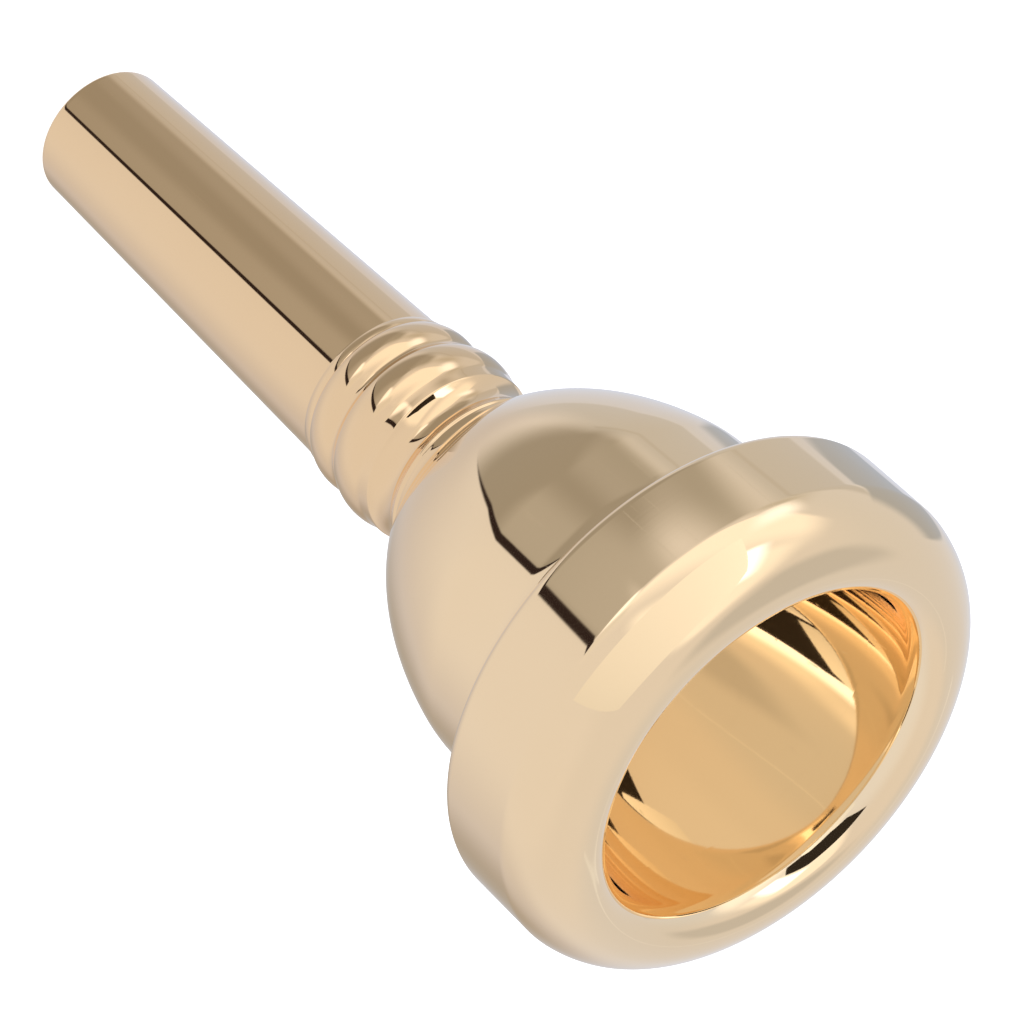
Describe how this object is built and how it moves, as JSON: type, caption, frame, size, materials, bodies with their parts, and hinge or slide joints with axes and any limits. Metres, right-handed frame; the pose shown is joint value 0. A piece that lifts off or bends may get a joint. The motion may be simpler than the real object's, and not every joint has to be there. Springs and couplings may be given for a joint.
{
  "type": "brass instrument mouthpiece",
  "caption": "Cup mouthpiece with a rounded rim, domed bowl, beaded collar and tapered shank, which unscrews into rim, cup and shank.",
  "frame": {"origin": "centre of the shank's small end face, on the axis", "axes": "+Z along the axis from the small end of the shank to the rim, so the rim faces up; the shape is round about Z, so X and Y are free"},
  "size_m": [0.0384, 0.0384, 0.0812],
  "materials": {
    "gold_plate": "polished, gold plated over brass",
    "seal_rubber": "matt"
  },
  "bodies": {
    "shank": {"shank": "gold_plate"},
    "shank_seal": {"shank_seal": "seal_rubber"},
    "cup": {"cup": "gold_plate"},
    "rim_seal": {"rim_seal": "seal_rubber"},
    "rim": {"rim": "gold_plate"}
  },
  "joints": [
    {"name": "cup_lift", "type": "slide", "parent": "shank", "child": "shank_seal", "axis": [0, 0, 1], "range_m": [0, 0.0043]},
    {"name": "cup_turn", "type": "hinge", "parent": "shank_seal", "child": "cup", "pos_m": [0, 0, 0.05028], "axis": [0, 0, 1], "range_deg": [0, 1530]},
    {"name": "rim_lift", "type": "slide", "parent": "cup", "child": "rim_seal", "axis": [0, 0, 1], "range_m": [0, 0.00465]},
    {"name": "rim_turn", "type": "hinge", "parent": "rim_seal", "child": "rim", "pos_m": [0, 0, 0.07025], "axis": [0, 0, 1], "range_deg": [0, 1650]}
  ],
  "couplings": [
    {"joint": "cup_lift", "follows": "cup_turn", "m_per_rad": 0.00015915},
    {"joint": "rim_lift", "follows": "rim_turn", "m_per_rad": 0.00015915}
  ]
}
